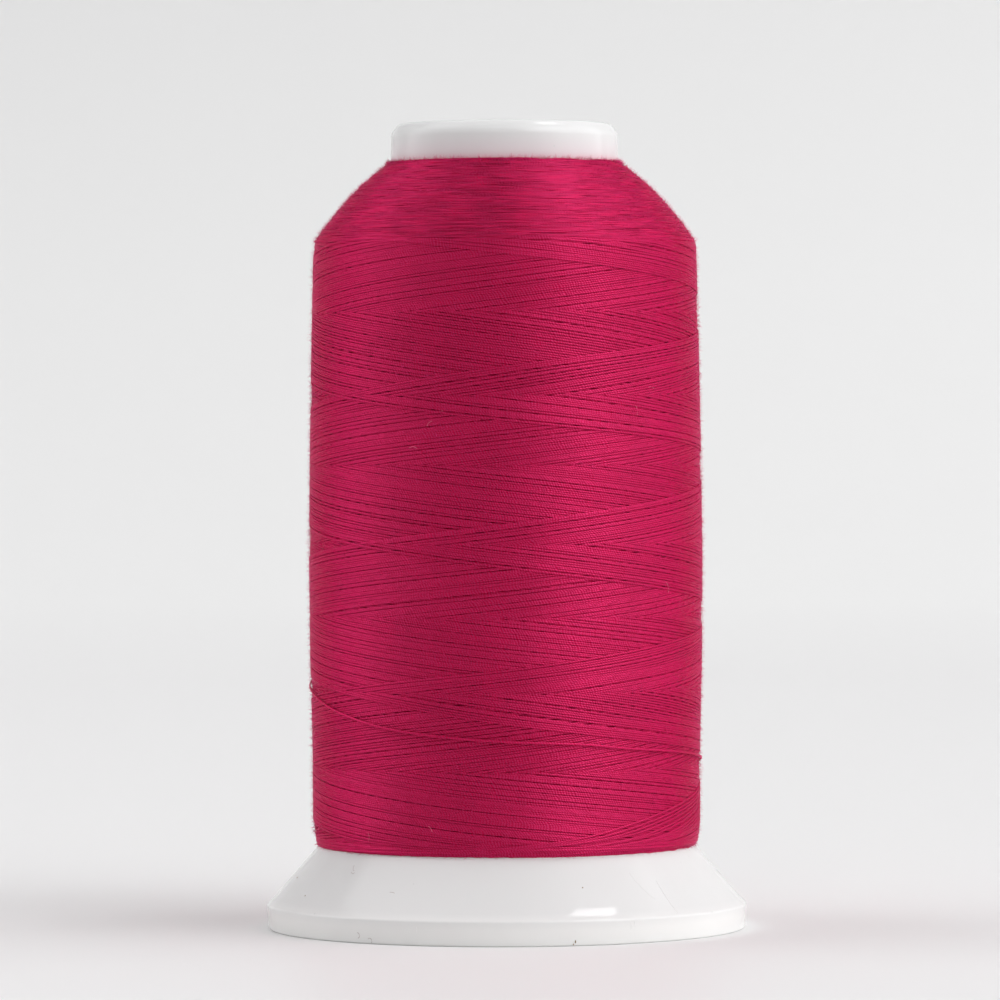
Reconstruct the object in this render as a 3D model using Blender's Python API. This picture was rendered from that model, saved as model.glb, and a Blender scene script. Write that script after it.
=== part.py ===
"""Cone of thread: a moulded core with a wide foot, and sewing thread cross-wound on it.

Metres, +Z up. The origin is on the floor, on the axis, under the middle of the foot.
Angles run round the axis from the front (-Y) towards +X.
"""

import math

import bmesh
import bpy

MM = 0.001

# Moulded core: a round collar on top, a tapered tube, a conical flare, and a rim to stand on.
CORE_HEIGHT = 97.0 * MM
CORE_WALL = 1.7 * MM
TUBE_TOP_RADIUS = 13.7 * MM
TUBE_TAPER = 0.0185  # growth of the tube's radius for each unit of depth
FLARE_ANGLE = math.radians(41.0)  # between the flare and the axis
FLARE_RADIUS = 22.7 * MM  # of the flare, at FLARE_HEIGHT
FLARE_HEIGHT = 9.5 * MM
RIM_RADIUS = 29.0 * MM
RIM_WALL = 1.8 * MM
RIM_HEIGHT = 3.0 * MM
COLLAR_ROUNDING = 1.35 * MM
BORE_EDGE_ROUNDING = 0.3 * MM
NECK_ROUNDING = 4.0 * MM  # where the tube turns into the flare
RIM_TOP_ROUNDING = 0.5 * MM
RIM_FOOT_ROUNDING = 0.25 * MM
CORE_SEGMENTS = 64
ROUNDING_STEPS = 4

# Wound thread: a barrel with a slight crown, a sloping shoulder and a rounded lower edge.
WINDING_GAP = 0.3 * MM  # between the thread and the core
CROWN_RADIUS = 23.8 * MM  # the barrel's largest radius, at CROWN_HEIGHT
CROWN_HEIGHT = 44.0 * MM
CROWN_FALL = 0.43  # loss of radius, in metres, for each square metre of distance from the crown
BARREL_BOTTOM = 12.9 * MM
BARREL_TOP = 82.2 * MM
SHOULDER_TOP = 92.4 * MM
SHOULDER_LIP = 0.35 * MM  # width of the thread's top edge beside the collar
SHOULDER_BULGE = 0.5 * MM
SHOULDER_TURNS = 12
SHOULDER_RIB = 0.12 * MM
LOWER_EDGE_INSET = 0.85 * MM
LOWER_EDGE_STEPS = 4

# Cross-winding: one band of turns rises to the right, the other falls to the right.
PITCH = 18.2 * MM  # climb of a band in one turn round the core
CROSSING_HEIGHT = 46.65 * MM  # a place where the newest turns of both bands cross
CROSSING_ANGLE = math.radians(-58.0)
BAND_PARTS = 20  # turns that stand for one pitch of a band, an even number
BAND_STEP = 0.30 * MM  # rise from a band's oldest turns to its newest
BAND_RIB = 0.14 * MM  # height of every second turn above the mean
COLUMNS = 2 * BAND_PARTS

CORE_COLOUR = (0.83, 0.83, 0.84, 1.0)
THREAD_COLOUR = (0.46, 0.008, 0.075, 1.0)


def clear_scene():
    for old in list(bpy.data.objects):
        bpy.data.objects.remove(old, do_unlink=True)


def plain_material(name, colour, roughness):
    material = bpy.data.materials.new(name)
    material.use_nodes = True
    shader = material.node_tree.nodes["Principled BSDF"]
    shader.inputs["Base Color"].default_value = colour
    shader.inputs["Roughness"].default_value = roughness
    shader.inputs["Metallic"].default_value = 0.0
    return material


def add_object(name, mesh, material):
    mesh.materials.append(material)
    piece = bpy.data.objects.new(name, mesh)
    bpy.context.scene.collection.objects.link(piece)
    return piece


# Outlines are lists of (radius, height) points.


def tube_radius(height):
    return TUBE_TOP_RADIUS + TUBE_TAPER * (CORE_HEIGHT - height)


def flare_height(radius):
    return FLARE_HEIGHT + (FLARE_RADIUS - radius) / math.tan(FLARE_ANGLE)


def neck_corner(offset):
    """Where the tube's line meets the flare's line, both moved outwards by offset."""
    side = offset * math.sqrt(1.0 + TUBE_TAPER**2)
    rise = offset / math.sin(FLARE_ANGLE)
    slope = 1.0 / math.tan(FLARE_ANGLE)
    # The tube is radius = a - TUBE_TAPER * height, and the flare is height = b - slope * radius.
    a = tube_radius(0.0) + side
    b = flare_height(0.0) + rise
    height = (b - slope * a) / (1.0 - slope * TUBE_TAPER)
    return (a - TUBE_TAPER * height, height)


def rounded(corners, steps):
    """The points of a closed outline whose (radius, height, rounding) corners are rounded off."""
    points = []
    for index, (radius, height, rounding) in enumerate(corners):
        if rounding == 0.0:
            points.append((radius, height))
            continue
        before = corners[index - 1]
        after = corners[(index + 1) % len(corners)]
        back = math.atan2(before[1] - height, before[0] - radius)
        ahead = math.atan2(after[1] - height, after[0] - radius)
        opening = math.remainder(ahead - back, math.tau)
        reach = rounding / math.tan(abs(opening) / 2.0)
        to_centre = rounding / math.sin(abs(opening) / 2.0)
        middle = back + opening / 2.0
        centre = (radius + to_centre * math.cos(middle), height + to_centre * math.sin(middle))
        first = (radius + reach * math.cos(back), height + reach * math.sin(back))
        start = math.atan2(first[1] - centre[1], first[0] - centre[0])
        turn = -math.copysign(math.pi - abs(opening), opening)
        for step in range(steps + 1):
            angle = start + turn * step / steps
            points.append(
                (centre[0] + rounding * math.cos(angle), centre[1] + rounding * math.sin(angle))
            )
    return points


def core_outline():
    """Down the outside of the core, under its rim and up its bore."""
    neck = neck_corner(0.0)
    inner_neck = neck_corner(-CORE_WALL)
    flare_foot = FLARE_RADIUS + (FLARE_HEIGHT - RIM_HEIGHT) * math.tan(FLARE_ANGLE)
    rim_inside = RIM_RADIUS - RIM_WALL
    recess_height = flare_height(rim_inside) - CORE_WALL / math.sin(FLARE_ANGLE)
    bore_top = TUBE_TOP_RADIUS - CORE_WALL
    corners = [
        # radius, height, rounding
        (TUBE_TOP_RADIUS, CORE_HEIGHT, COLLAR_ROUNDING),
        (neck[0], neck[1], NECK_ROUNDING),
        (flare_foot, RIM_HEIGHT, 0.0),
        (RIM_RADIUS, RIM_HEIGHT, RIM_TOP_ROUNDING),
        (RIM_RADIUS, 0.0, RIM_FOOT_ROUNDING),
        (rim_inside, 0.0, RIM_FOOT_ROUNDING),
        (rim_inside, recess_height, 0.0),
        (inner_neck[0], inner_neck[1], NECK_ROUNDING + CORE_WALL),
        (bore_top, CORE_HEIGHT, BORE_EDGE_ROUNDING),
    ]
    return rounded(corners, ROUNDING_STEPS)


def make_core():
    """The core's outline, turned round the axis by a Screw modifier."""
    outline = core_outline()
    mesh = bpy.data.meshes.new("plastic_core")
    edges = [(index, (index + 1) % len(outline)) for index in range(len(outline))]
    mesh.from_pydata([(radius, 0.0, height) for radius, height in outline], edges, [])
    core = add_object("plastic_core", mesh, plain_material("white_plastic", CORE_COLOUR, 0.25))
    turning = core.modifiers.new("turned", "SCREW")
    turning.axis = "Z"
    turning.angle = math.tau
    turning.steps = CORE_SEGMENTS
    turning.render_steps = CORE_SEGMENTS
    turning.use_merge_vertices = True
    turning.merge_threshold = 0.00001
    turning.use_smooth_shade = True
    return core


# The thread's points lie on a lattice of columns round the core and rows up it. Every second
# place is used, so the lattice's slanting lines run along the turns of the two bands.


def column_angle(column):
    return CROSSING_ANGLE + math.tau * column / COLUMNS


def row_height(row):
    return CROSSING_HEIGHT + PITCH * row / COLUMNS


def barrel_radius(height):
    return CROWN_RADIUS - CROWN_FALL * (height - CROWN_HEIGHT) ** 2


def band_relief(column, row):
    """How far the crossing bands stand out here, by the age of the turn that lies on top."""
    rising_age = (column - row) // 2 % BAND_PARTS
    falling_age = (column + row) // 2 % BAND_PARTS
    age = min(rising_age, falling_age)
    rib = BAND_RIB if age % 2 == 0 else -BAND_RIB
    return BAND_STEP * (0.5 - age / BAND_PARTS) + rib


def ring_point(column, radius, height):
    angle = column_angle(column)
    return (radius * math.sin(angle), -radius * math.cos(angle), height)


def add_ring(mesh, radius, height):
    return [mesh.verts.new(ring_point(column, radius, height)) for column in range(COLUMNS)]


def join_rings(mesh, lower, upper):
    """A belt of faces that point outwards where upper lies above lower."""
    for column in range(COLUMNS):
        beside = (column + 1) % COLUMNS
        mesh.faces.new((lower[column], lower[beside], upper[beside], upper[column]))


def add_crossing_bands(mesh):
    """The barrel's rhombic lattice; returns its lowest and highest zigzag rings."""
    row_rise = PITCH / COLUMNS
    first_row = math.ceil((BARREL_BOTTOM - CROSSING_HEIGHT) / row_rise)
    last_row = math.floor((BARREL_TOP - CROSSING_HEIGHT) / row_rise)
    lattice = {}
    for row in range(first_row, last_row + 1):
        height = row_height(row)
        for column in range(row % 2, COLUMNS, 2):
            radius = barrel_radius(height) + band_relief(column, row)
            lattice[column, row] = mesh.verts.new(ring_point(column, radius, height))
    for row in range(first_row + 1, last_row):
        for column in range((row + 1) % 2, COLUMNS, 2):
            below = lattice[column, row - 1]
            above = lattice[column, row + 1]
            right = lattice[(column + 1) % COLUMNS, row]
            left = lattice[(column - 1) % COLUMNS, row]
            mesh.faces.new((below, right, above))
            mesh.faces.new((below, above, left))
    lowest = [lattice[column, first_row + (column + first_row) % 2] for column in range(COLUMNS)]
    highest = [lattice[column, last_row - (column + last_row) % 2] for column in range(COLUMNS)]
    return lowest, highest


def shoulder_outline(top_radius):
    """Up the sloping shoulder, with each second turn standing a little proud."""
    low = (barrel_radius(BARREL_TOP), BARREL_TOP)
    run = top_radius - low[0]
    rise = SHOULDER_TOP - low[1]
    slope = math.hypot(run, rise)
    points = []
    for turn in range(1, SHOULDER_TURNS + 1):
        part = turn / SHOULDER_TURNS
        out = SHOULDER_BULGE * 4.0 * part * (1.0 - part)
        if turn < SHOULDER_TURNS:
            out += SHOULDER_RIB if turn % 2 else -SHOULDER_RIB
        points.append(
            (low[0] + run * part + out * rise / slope, low[1] + rise * part - out * run / slope)
        )
    return points


def winding_wall():
    """Up the inside of the winding, clear of the flare and the tube: (radius, height) points."""
    corner = neck_corner(WINDING_GAP)
    lower_radius = barrel_radius(BARREL_BOTTOM) - LOWER_EDGE_INSET
    lower_height = flare_height(lower_radius) + WINDING_GAP / math.sin(FLARE_ANGLE)
    upper_radius = tube_radius(SHOULDER_TOP) + WINDING_GAP
    corners = [
        # radius, height, rounding
        (lower_radius, lower_height, 0.0),
        (corner[0], corner[1], NECK_ROUNDING - WINDING_GAP),
        (upper_radius, SHOULDER_TOP, 0.0),
    ]
    flat_side = math.cos(math.pi / COLUMNS)  # a ring's flats lie inside its points
    return [(radius / flat_side, height) for radius, height in rounded(corners, ROUNDING_STEPS)]


def lower_edge_outline(end):
    """Round the winding's lower edge, from the end of its inner wall up to the barrel."""
    start = (barrel_radius(BARREL_BOTTOM), BARREL_BOTTOM)
    points = []
    for step in range(1, LOWER_EDGE_STEPS):
        angle = math.pi / 2.0 * (1.0 - step / LOWER_EDGE_STEPS)
        radius = end[0] + (start[0] - end[0]) * math.cos(angle)
        height = start[1] + (end[1] - start[1]) * math.sin(angle)
        points.append((radius, height))
    return points


def make_thread():
    """The wound thread: inner wall, lower edge, crossing bands, shoulder and top edge."""
    shape = bmesh.new()
    wall = winding_wall()
    wall_rings = [add_ring(shape, radius, height) for radius, height in wall]
    edge_rings = [add_ring(shape, radius, height) for radius, height in lower_edge_outline(wall[0])]
    lowest, highest = add_crossing_bands(shape)
    shoulder = shoulder_outline(wall[-1][0] + SHOULDER_LIP)
    shoulder_rings = [add_ring(shape, radius, height) for radius, height in shoulder]
    outside = [wall_rings[0]] + edge_rings + [lowest]
    for lower, upper in zip(outside, outside[1:]):
        join_rings(shape, lower, upper)
    over_the_top = [highest] + shoulder_rings + wall_rings[::-1]
    for lower, upper in zip(over_the_top, over_the_top[1:]):
        join_rings(shape, lower, upper)
    mesh = bpy.data.meshes.new("wound_thread")
    shape.to_mesh(mesh)
    shape.free()
    mesh.shade_smooth()
    mesh.set_sharp_from_angle(angle=math.radians(40.0))
    return add_object("wound_thread", mesh, plain_material("crimson_thread", THREAD_COLOUR, 0.6))


def main():
    clear_scene()
    make_core()
    make_thread()


main()
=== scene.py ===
"""The looks of a cone of thread: a glossy white moulded core, and crimson sewing thread laid on it.

Metres, +Z up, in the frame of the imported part. Angles run round the axis from the front (-Y) towards +X.
Angles of the winding are in turns: a quarter turn is +X.
"""

import math

import bpy
import numpy as np
from bpy.props import FloatProperty, FloatVectorProperty, IntProperty, PointerProperty
from mathutils import Matrix, Vector


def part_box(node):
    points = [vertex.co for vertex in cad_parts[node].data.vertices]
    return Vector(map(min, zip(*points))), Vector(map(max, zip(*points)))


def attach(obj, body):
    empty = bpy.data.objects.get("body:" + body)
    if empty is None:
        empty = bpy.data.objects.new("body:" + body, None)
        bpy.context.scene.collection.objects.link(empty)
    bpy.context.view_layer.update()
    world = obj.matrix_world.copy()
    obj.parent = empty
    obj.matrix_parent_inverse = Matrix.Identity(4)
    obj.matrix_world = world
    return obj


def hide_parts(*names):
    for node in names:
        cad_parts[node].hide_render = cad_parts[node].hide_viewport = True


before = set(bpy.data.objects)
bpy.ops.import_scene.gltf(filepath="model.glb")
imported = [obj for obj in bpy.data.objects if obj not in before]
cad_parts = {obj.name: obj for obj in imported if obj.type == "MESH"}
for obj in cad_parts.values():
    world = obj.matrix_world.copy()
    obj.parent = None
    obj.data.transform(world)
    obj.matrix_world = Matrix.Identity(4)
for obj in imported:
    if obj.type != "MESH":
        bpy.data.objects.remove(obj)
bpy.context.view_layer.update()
CORE_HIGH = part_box("plastic_core")[1]

bl_info = {
    "name": "Cone of Thread",
    "version": (1, 0, 0),
    "blender": (4, 5, 0),
    "location": "View3D > Sidebar > Thread",
    "description": "Winds a cone of sewing thread on a moulded core, turn by turn",
    "category": "Object",
}

MM = 0.001

# The winding's outside, from its lower edge to the collar.
WINDING_OUTLINE = (
    # height, radius in mm
    (9.6, 22.35),
    (10.0, 22.72),
    (10.6, 23.05),
    (11.5, 23.25),
    (12.9, 23.38),
    (22.6, 23.46),
    (32.3, 23.68),
    (44.4, 23.78),
    (58.9, 23.62),
    (71.0, 23.40),
    (79.0, 23.20),
    (82.3, 23.10),
    (82.9, 22.92),
    (84.8, 21.56),
    (87.3, 19.50),
    (89.7, 17.20),
    (90.9, 15.68),
    (92.1, 14.22),
    (92.42, 13.84),
)

# One pass of the traverse: up to the shoulder and down again. Each later pass repeats it a little
# further back round the core, so that its turns lie beside those of the pass before.
TRAVERSE = (
    # turns round the core, height in mm
    (-0.20, 10.15),
    (-0.08, 10.5),
    (0.000, 11.2),
    (0.056, 12.0),
    (0.111, 13.6),
    (0.167, 15.3),
    (0.228, 16.9),
    (0.344, 19.9),
    (0.50, 22.8),
    (0.914, 30.5),
    (1.000, 31.9),
    (1.186, 35.4),
    (1.85, 46.4),
    (2.00, 49.1),
    (2.18, 52.5),
    (2.36, 55.95),
    (2.856, 64.45),
    (3.00, 67.5),
    (3.186, 70.8),
    (3.50, 76.5),
    (3.75, 80.9),
    (3.875, 82.5),
    (4.00, 80.9),
    (4.25, 76.5),
    (4.85, 64.1),
    (5.00, 61.4),
    (5.194, 58.5),
    (5.36, 55.95),
    (5.886, 46.3),
    (6.00, 44.1),
    (6.186, 40.6),
    (6.335, 38.0),
    (6.867, 28.6),
    (7.00, 25.7),
    (7.20, 22.1),
    (7.344, 19.9),
    (7.65, 15.0),
    (7.80, 12.6),
    (7.88, 11.5),
    (8.00, 10.9),
    (8.30, 10.4),
    (8.80, 10.15),
)
TRAVERSE_TOP = 3.875

# The slack turn that slipped down over the others.
SLACK_TURN = (
    # turns, height in mm
    (-0.420, 32.6),
    (-0.330, 30.9),
    (-0.233, 29.0),
    (-0.156, 26.5),
    (-0.089, 24.7),
    (0.000, 23.6),
    (0.061, 23.2),
    (0.106, 22.5),
    (0.150, 22.0),
    (0.186, 21.5),
    (0.219, 20.9),
    (0.290, 19.6),
    (0.340, 18.6),
)


# ------------ settings


def length_setting(name, description, value):
    return FloatProperty(name=name, description=description, default=value, unit="LENGTH", precision=5)


def angle_setting(name, description, degrees):
    return FloatProperty(
        name=name, description=description, default=math.radians(degrees), subtype="ANGLE"
    )


def colour_setting(name, description, value):
    return FloatVectorProperty(name=name, description=description, default=value, size=3, subtype="COLOR")


class CoreSettings(bpy.types.PropertyGroup):
    """Sizes and colour of the moulded core."""

    height: length_setting("Height", "From the floor to the top of the collar", CORE_HIGH.z)
    wall: length_setting("Wall", "Thickness of the moulding", 1.7 * MM)
    collar_radius: length_setting("Collar radius", "Outer radius at the top", 13.7 * MM)
    taper: FloatProperty(name="Taper", description="Growth of the tube's radius with depth", default=0.0185)
    flare_angle: angle_setting("Flare angle", "Between the flare and the axis", 40.8)
    lip_angle: angle_setting("Lip angle", "Between the axis and the flare where it meets the lip", 49.0)
    flare_radius: length_setting("Flare radius", "Radius of the flare where the thread ends", 23.12 * MM)
    flare_height: length_setting("Flare height", "Height at which the flare has that radius", 9.5 * MM)
    flare_bend: length_setting("Flare bend", "Height at which the flare begins to run out", 4.6 * MM)
    rim_radius: length_setting("Rim radius", "Outer radius of the rim it stands on", CORE_HIGH.x)
    rim_wall: length_setting("Rim wall", "Thickness of the rim", 1.8 * MM)
    rim_height: length_setting("Rim height", "Height of the lip of the rim", 2.92 * MM)
    rim_draft: length_setting("Rim draft", "How far the rim narrows from its lip to the floor", 0.2 * MM)
    # The rim shows this colour at full strength, as painted light; the rest of the core shows less of it.
    colour: colour_setting("Colour", "Colour of the plastic where it is thick", (0.92, 0.92, 0.92))
    steps: IntProperty(name="Steps", description="Flat strips round the core", default=192)


class WindingSettings(bpy.types.PropertyGroup):
    """The thread and the way it is wound."""

    thread_width: length_setting("Thread width", "Width of the thread as it lies", 0.29 * MM)
    thread_height: length_setting("Thread height", "Thickness of the thread as it lies", 0.18 * MM)
    layer: length_setting("Layer", "How much one layer of turns adds to the radius", 0.115 * MM)
    passes: IntProperty(name="Passes", description="Passes of the traverse before turns repeat", default=70)
    points_a_turn: IntProperty(name="Points a turn", description="Points on each turn", default=56)
    unevenness: length_setting("Unevenness", "Usual distance of a turn from its place", 0.043 * MM)
    shoulder_arcs: IntProperty(name="Shoulder arcs", description="Turning arcs on the shoulder", default=1700)
    lower_arcs: IntProperty(name="Lower arcs", description="Turning arcs on the lower edge", default=110)
    twist: length_setting("Twist", "Length of one ply's stroke along the thread", 0.34 * MM)
    fibre_density: FloatProperty(
        name="Fibre density", description="Loose fibres a square metre", default=9.0e4
    )
    fuzz_density: FloatProperty(
        name="Fuzz density", description="Fibre ends a square metre", default=4.0e6
    )
    colour: colour_setting("Colour", "Colour of the dyed thread", (0.50, 0.0006, 0.048))
    shine_colour: colour_setting("Shine", "Colour of the crests of the plies", (0.58, 0.032, 0.13))
    seed: IntProperty(name="Seed", description="Start of every random choice", default=7)


class StudioSettings(bpy.types.PropertyGroup):
    """Camera, floor and lights."""

    camera_place: FloatVectorProperty(
        name="Camera place",
        description="Where the camera stands",
        default=(-0.000672, -0.7362, 0.06173),
        subtype="XYZ",
    )
    camera_tilt: angle_setting("Camera tilt", "How far it looks down", 0.787)
    camera_roll: angle_setting("Camera roll", "Turn about its line of sight", -0.188)
    lens: FloatProperty(name="Lens", description="Focal length in mm on a 36 mm sensor", default=219.28)
    floor_colour: colour_setting("Floor colour", "Colour of the floor and the backdrop", (0.80, 0.795, 0.80))
    room_light: FloatProperty(name="Room light", description="Strength of the room's glows", default=1.1)
    softbox_strength: FloatProperty(name="Softbox", description="Strength in watts", default=4.4)


# ------------ small helpers


def smooth_through(places, values, wanted):
    """A curve through the given values that doesn't overshoot them, read at the wanted places."""
    steps = np.diff(places)
    slopes = np.diff(values) / steps
    product = slopes[:-1] * slopes[1:]
    tangents = np.zeros(len(places))
    total = np.where(product > 0.0, slopes[:-1] + slopes[1:], 1.0)
    tangents[1:-1] = np.where(product > 0.0, 2.0 * product / total, 0.0)
    tangents[0] = slopes[0]
    tangents[-1] = slopes[-1]
    left = np.clip(np.searchsorted(places, wanted) - 1, 0, len(steps) - 1)
    part = (wanted - places[left]) / steps[left]
    part = np.clip(part, 0.0, 1.0)
    return (
        values[left] * (1.0 + 2.0 * part) * (1.0 - part) ** 2
        + tangents[left] * steps[left] * part * (1.0 - part) ** 2
        + values[left + 1] * part**2 * (3.0 - 2.0 * part)
        - tangents[left + 1] * steps[left] * part**2 * (1.0 - part)
    )


def soft_step(value):
    value = np.clip(value, 0.0, 1.0)
    return value * value * (3.0 - 2.0 * value)


OUTLINE_HEIGHTS, OUTLINE_RADII = np.array(WINDING_OUTLINE).T * MM


def winding_radius(height):
    """Radius of the winding's outside at a height."""
    return np.interp(height, OUTLINE_HEIGHTS, OUTLINE_RADII)


def round_axis(turns, radius, height):
    """Points at an angle in turns from the front, a radius and a height."""
    angle = math.tau * np.asarray(turns)
    return np.stack([radius * np.sin(angle), -radius * np.cos(angle), height], axis=-1)


def run_along(points, lean=0.0):
    """A run of thread: its points, and how far its flat side leans at each."""
    return {"points": points, "lean": np.full(len(points), lean)}


def link(piece):
    bpy.context.scene.collection.objects.link(piece)
    return piece


def hand_over(piece, node):
    """What the frame is told about a finished piece."""
    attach(piece, "root")
    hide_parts(node)


def add_piece(name, mesh, material, node):
    """A finished mesh as a piece of its own."""
    mesh.materials.append(material)
    hand_over(link(bpy.data.objects.new(name, mesh)), node)


def turned_mesh(name, outline, steps, closed=True):
    """An outline of (radius, height) points, anticlockwise, turned round the axis."""
    count = len(outline)
    angles = math.tau * np.arange(steps) / steps
    radii, heights = np.array(outline).T
    points = np.empty((steps, count, 3))
    points[..., 0] = np.outer(np.sin(angles), radii)
    points[..., 1] = np.outer(-np.cos(angles), radii)
    points[..., 2] = heights
    faces = []
    for step in range(steps):
        here = step * count
        ahead = (step + 1) % steps * count
        for index in range(count if closed else count - 1):
            above = (index + 1) % count
            faces.append((here + index, ahead + index, ahead + above, here + above))
    mesh = bpy.data.meshes.new(name)
    mesh.from_pydata(points.reshape(-1, 3).tolist(), [], faces)
    mesh.shade_smooth()
    return mesh


def rounded(corners, steps):
    """The points of a closed outline whose (radius, height, rounding) corners are rounded off."""
    points = []
    for index, (radius, height, rounding) in enumerate(corners):
        corner = Vector((radius, height))
        if rounding == 0.0:
            points.append(tuple(corner))
            continue
        back = (Vector(corners[index - 1][:2]) - corner).normalized()
        ahead = (Vector(corners[(index + 1) % len(corners)][:2]) - corner).normalized()
        half = back.angle(ahead) / 2.0
        centre = corner + (back + ahead).normalized() * rounding / math.sin(half)
        first = corner + back * rounding / math.tan(half) - centre
        sweep = -math.copysign(math.pi - 2.0 * half, back.cross(ahead))
        for step in range(steps + 1):
            points.append(tuple(centre + Matrix.Rotation(sweep * step / steps, 2) @ first))
    return points


# ------------ materials


def fill(tree, node, sockets):
    """Sets a node's sockets to values, or links them."""
    for name, value in sockets.items():
        if isinstance(value, bpy.types.NodeSocket):
            tree.links.new(value, node.inputs[name])
        else:
            node.inputs[name].default_value = value


def add_node(tree, kind, sockets=None, **settings):
    """A shader or geometry node, with its settings, and its sockets filled."""
    node = tree.nodes.new(kind)
    for name, value in settings.items():
        setattr(node, name, value)
    fill(tree, node, sockets or {})
    return node


def made(tree, kind, sockets=None, **settings):
    """What comes out first of a new node."""
    return add_node(tree, kind, sockets, **settings).outputs[0]


def maths(tree, operation, *values):
    return made(tree, "ShaderNodeMath", dict(enumerate(values)), operation=operation)


def noise(tree, place, scale, detail):
    sockets = {"Vector": place, "Scale": scale, "Detail": detail}
    return add_node(tree, "ShaderNodeTexNoise", sockets).outputs["Fac"]


def spread(tree, value, low=0.0, high=1.0, least=0.0, most=1.0):
    """A value between least and most, spread between low and high."""
    sockets = {"Value": value, "From Min": least, "From Max": most, "To Min": low, "To Max": high}
    return made(tree, "ShaderNodeMapRange", sockets)


def mixed(tree, factor, first, second):
    """One colour or linked socket mixed into another."""
    node = add_node(tree, "ShaderNodeMix", data_type="RGBA")
    tree.links.new(factor, node.inputs["Factor"])
    for name, value in (("A", first), ("B", second)):
        socket = next(item for item in node.inputs if item.name == name and item.type == "RGBA")
        if isinstance(value, bpy.types.NodeSocket):
            tree.links.new(value, socket)
        else:
            socket.default_value = (*value[:3], 1.0)
    return next(item for item in node.outputs if item.type == "RGBA")


def shaded(colour, share):
    return [channel * share for channel in colour[:3]]


def new_material(name):
    """A material, its tree, its shader and the place on its piece."""
    material = bpy.data.materials.new(name)
    material.use_nodes = True
    tree = material.node_tree
    place = add_node(tree, "ShaderNodeTexCoord").outputs["Object"]
    return material, tree, tree.nodes["Principled BSDF"], place


PATCHES = 260.0  # patches of dye in a metre
FIBRES = 7000.0  # fibres in a metre
WAVES = 900.0  # places in a metre where the twist is tighter or looser
WAVERING = 1.8  # how many strokes the twist is put out by
PLIES = -2.0  # strokes met on the way round the thread, less than none for the other twist
FLECK_COLOUR = (0.80, 0.012, 0.105)
FIBRE_COLOUR = (0.82, 0.075, 0.33)


def twisted_relief(tree, settings, place, fibres):
    """The height of the thread's surface: strokes of twisted plies with fibres on them."""
    run = made(tree, "ShaderNodeUVMap", uv_map="thread")
    axes = add_node(tree, "ShaderNodeSeparateXYZ", {"Vector": run}).outputs
    strokes = maths(tree, "MULTIPLY", axes["X"], 1.0 / settings.twist)
    slanted = maths(tree, "MULTIPLY_ADD", axes["Y"], PLIES, strokes)
    phase = maths(tree, "MULTIPLY_ADD", noise(tree, place, WAVES, 2.0), WAVERING, slanted)
    wave = maths(tree, "SINE", maths(tree, "MULTIPLY", phase, math.pi))
    return maths(tree, "MULTIPLY_ADD", fibres, 0.5, maths(tree, "ABSOLUTE", wave))


def sewing_thread(name, settings, shade=1.0, twisted=True, flat=1.0):
    """Dyed spun thread: uneven dye or flat flecks, fine fibres, and twisted plies whose crests shine."""
    material, tree, shader, place = new_material(name)
    flattened = made(tree, "ShaderNodeVectorMath", {0: place, 1: (1.0, 1.0, flat)}, operation="MULTIPLY")
    patches = noise(tree, flattened, PATCHES, 3.0)
    fibres = noise(tree, place, FIBRES, 2.0)
    # shade scales the dye: below one it is painted shade (the bed), above one painted light (the slack turn)
    base = shaded(settings.colour, shade)
    if flat == 1.0:
        dark = (base[0] * 0.82, base[1] * 0.7, base[2] * 0.78)
        light = (base[0] * 1.14, base[1] * 1.4, base[2] * 1.2)
        amount = spread(tree, maths(tree, "MULTIPLY", patches, fibres), least=0.1, most=0.45)
    else:
        dark = shaded(base, 0.62)
        light = FLECK_COLOUR
        amount = spread(tree, patches, least=0.4, most=0.62)
    colour = mixed(tree, amount, dark, light)
    relief = fibres
    if twisted:
        relief = twisted_relief(tree, settings, place, fibres)
        crest = spread(tree, relief, least=0.65, most=1.1)
        colour = mixed(tree, crest, colour, settings.shine_colour)
        fill(tree, shader, {"Metallic": crest})
    looks = {
        "Base Color": colour,
        "Normal": made(
            tree, "ShaderNodeBump", {"Height": relief, "Distance": 0.045 * MM, "Strength": 0.4}
        ),
        "Roughness": spread(tree, fibres, 0.28, 0.42),
        "Specular IOR Level": 0.1,
        "Specular Tint": (1.0, 0.06, 0.36, 1.0),
        "Sheen Weight": 0.55,
        "Sheen Roughness": 0.35,
        "Sheen Tint": (1.0, 0.1, 0.34, 1.0),
        "Anisotropic": 0.7,
        "Anisotropic Rotation": 0.25,
    }
    fill(tree, shader, looks)
    return material


def loose_fibre(name, settings):
    """A single fibre, thin enough for light to pass: paler than the thread."""
    material, tree, shader, place = new_material(name)
    colour = mixed(tree, noise(tree, place, 300.0, 1.0), shaded(settings.colour, 1.3), FIBRE_COLOUR)
    fill(tree, shader, {"Base Color": colour, "Roughness": 0.7, "Specular IOR Level": 0.05})
    return material


def plain_paint(name, colour, roughness):
    """Matt paint with a very faint mottle."""
    material, tree, shader, place = new_material(name)
    mottled = mixed(tree, noise(tree, place, 35.0, 5.0), shaded(colour, 0.99), colour)
    fill(tree, shader, {"Base Color": mottled, "Roughness": roughness, "Specular IOR Level": 0.3})
    return material


def shades_by_height(tree, height, shades, colour, top):
    """The colour ramp of a table of heights in mm and of the shares of a colour that come back there."""
    ramp = add_node(tree, "ShaderNodeValToRGB", {"Fac": maths(tree, "MULTIPLY", height, 1.0 / top)})
    stops = ramp.color_ramp.elements
    stops.remove(stops[1])
    for index, (stop_height, *shares) in enumerate(shades):
        stop = stops[0] if index == 0 else stops.new(1.0)
        stop.position = stop_height * MM / top
        stop.color = (*[share * channel for share, channel in zip(shares, colour)], 1.0)
    return ramp.outputs["Color"]


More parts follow.
